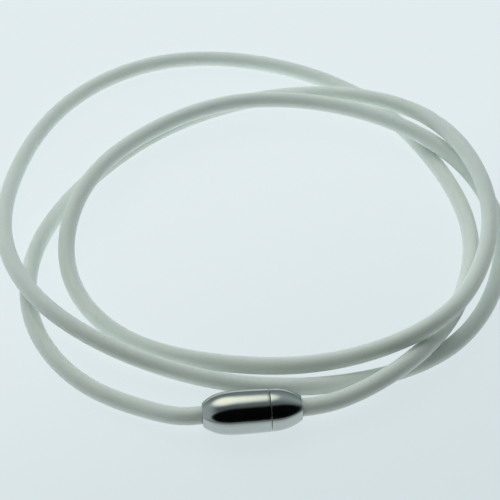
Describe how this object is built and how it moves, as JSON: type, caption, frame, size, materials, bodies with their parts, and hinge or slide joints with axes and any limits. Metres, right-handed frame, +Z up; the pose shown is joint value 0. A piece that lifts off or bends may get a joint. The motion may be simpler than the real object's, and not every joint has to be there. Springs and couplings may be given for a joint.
{
  "type": "wrist strap",
  "caption": "Wrap-round wrist strap: a round white silicone cord with a conductive core in loose turns, closed by an olive-shaped polished steel magnetic clasp.",
  "frame": {"origin": "on the table under the middle of the clasp", "axes": "+X along the clasp's axis from the long half to the short half, +Y from the clasp across the turns of cord, +Z up from the table"},
  "size_m": [0.0772, 0.0812, 0.008],
  "materials": {
    "white_silicone": "matt white moulded silicone",
    "conductive_yarn": "dark twisted conductive yarn",
    "polished_steel": "polished stainless steel",
    "magnet_plating": "nickel-plated magnet",
    "pin_brass": "turned brass",
    "set_glue": "set clear glue"
  },
  "bodies": {
    "cord": {"cord_jacket": "white_silicone", "cord_core": "conductive_yarn"},
    "long_half": {"long_shell": "polished_steel", "long_magnet": "magnet_plating", "long_contact_pin": "pin_brass", "long_cord_glue": "set_glue"},
    "short_half": {"short_shell": "polished_steel", "short_magnet": "magnet_plating", "short_contact_pin": "pin_brass", "short_cord_glue": "set_glue"}
  },
  "joints": [
    {"name": "clasp_pull", "type": "slide", "parent": "cord", "child": "long_half", "axis": [-1, 0, 0], "range_m": [0, 0.002], "deforming": ["cord_jacket", "cord_core"]},
    {"name": "clasp_swivel", "type": "hinge", "parent": "cord", "child": "short_half", "pos_m": [0.0042, 0, 0.00305], "axis": [1, 0, 0], "range_deg": [-180, 180]}
  ]
}
